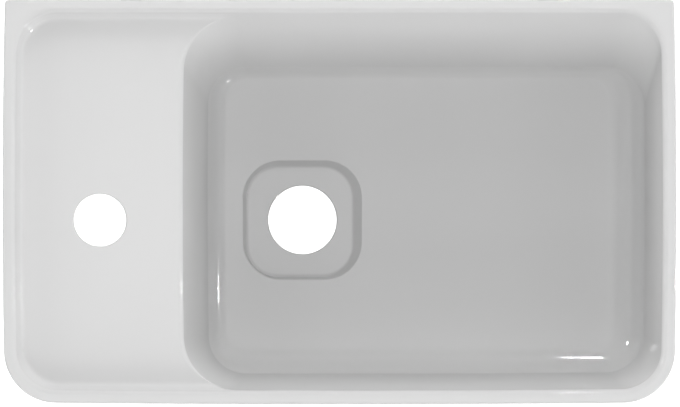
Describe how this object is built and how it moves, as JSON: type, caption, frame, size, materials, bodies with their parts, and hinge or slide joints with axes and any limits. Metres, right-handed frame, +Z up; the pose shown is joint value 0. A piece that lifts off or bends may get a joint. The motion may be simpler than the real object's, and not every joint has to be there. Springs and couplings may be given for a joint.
{
  "type": "cloakroom basin",
  "caption": "Small wall-hung ceramic basin with a tap ledge at the left, a deep rounded bowl, a square waste recess, and a pair of wall bolts with plugs, bushes, washers and nuts.",
  "frame": {"origin": "on the wall plane, midway between the two wall bolts, at their height", "axes": "+Z up, +X to the right as seen from the room, +Y into the wall; the basin stands out towards -Y"},
  "size_m": [0.4498, 0.3399, 0.135],
  "materials": {
    "china": "clear glossy glaze over white china",
    "nylon": "moulded, satin",
    "zinc_steel": "bright zinc plate"
  },
  "bodies": {
    "root": {"basin": "china", "wall_plug_left": "nylon", "hanger_bolt_left": "zinc_steel", "bush_left": "nylon", "washer_left": "zinc_steel", "nut_left": "zinc_steel", "wall_plug_right": "nylon", "hanger_bolt_right": "zinc_steel", "bush_right": "nylon", "washer_right": "zinc_steel", "nut_right": "zinc_steel"}
  },
  "joints": []
}
